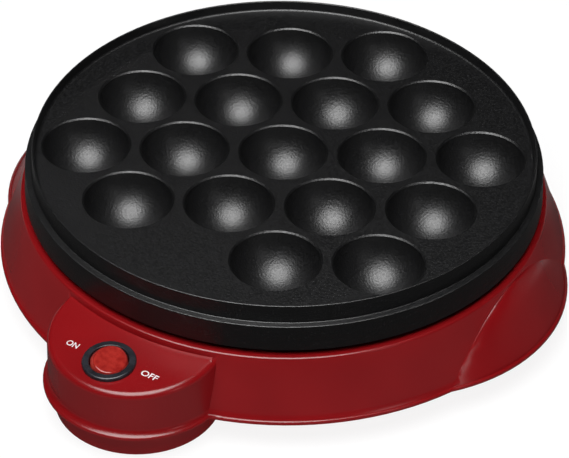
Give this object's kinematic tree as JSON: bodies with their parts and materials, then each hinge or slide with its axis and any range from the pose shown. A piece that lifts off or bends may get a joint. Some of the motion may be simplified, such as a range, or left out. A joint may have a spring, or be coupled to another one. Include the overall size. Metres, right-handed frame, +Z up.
{
  "type": "takoyaki maker",
  "caption": "Electric takoyaki maker: round black cast plate with ball-shaped cups, loose on a red plastic base that has a rocker switch in a front lobe.",
  "frame": {"origin": "bottom centre of the whole, on the surface the rubber feet stand on", "axes": "+Z up, -Y to the front (switch lobe), +X to the right seen from the front"},
  "size_m": [0.2718, 0.2852, 0.0652],
  "materials": {
    "nonstick": "satin non-stick coating on cast aluminium",
    "red_plastic": "semi-gloss moulded plastic",
    "rubber": "matte",
    "sheet_steel": "bright aluminised sheet",
    "tube_steel": "oxidised stainless tube",
    "ceramic": "unglazed",
    "plated_tab": "tinned",
    "screw_steel": "zinc plated",
    "sensor_black": "phenolic",
    "sensor_metal": "drawn",
    "switch_black": "semi-gloss",
    "switch_red": "translucent gloss"
  },
  "bodies": {
    "base": {"base_shell": "red_plastic", "bottom_cover": "red_plastic", "foot_pads": "rubber", "cord_gland": "rubber", "cover_screws": "screw_steel", "heat_shield": "sheet_steel", "shield_spacers": "ceramic", "shield_screws": "screw_steel", "heater_element": "tube_steel", "heater_insulators": "ceramic", "heater_terminals": "plated_tab", "heater_clips": "sheet_steel", "clip_rivets": "screw_steel", "sensor_leaf": "screw_steel", "leaf_rivet": "screw_steel", "switch_body": "switch_black", "switch_terminals": "plated_tab", "terminal_block": "ceramic", "thermal_fuse": "plated_tab", "fuse_clip": "sheet_steel"},
    "plate": {"cooking_plate": "nonstick"},
    "rocker": {"switch_rocker": "switch_red"},
    "sensor": {"thermostat": "sensor_black", "thermostat_cap": "sensor_metal"}
  },
  "joints": [
    {"name": "plate_lift", "type": "slide", "parent": "base", "child": "plate", "axis": [0, 0, 1], "range_m": [0, 0.09]},
    {"name": "switch_press", "type": "hinge", "parent": "base", "child": "rocker", "pos_m": [0.0005, -0.1231, 0.03583], "axis": [0, -0.9973, -0.0732], "range_deg": [0, 24]},
    {"name": "sensor_press", "type": "slide", "parent": "base", "child": "sensor", "axis": [0, 0, -1], "range_m": [0, 0.002], "stiffness_N_per_m": 300, "deforming": ["sensor_leaf"]}
  ]
}
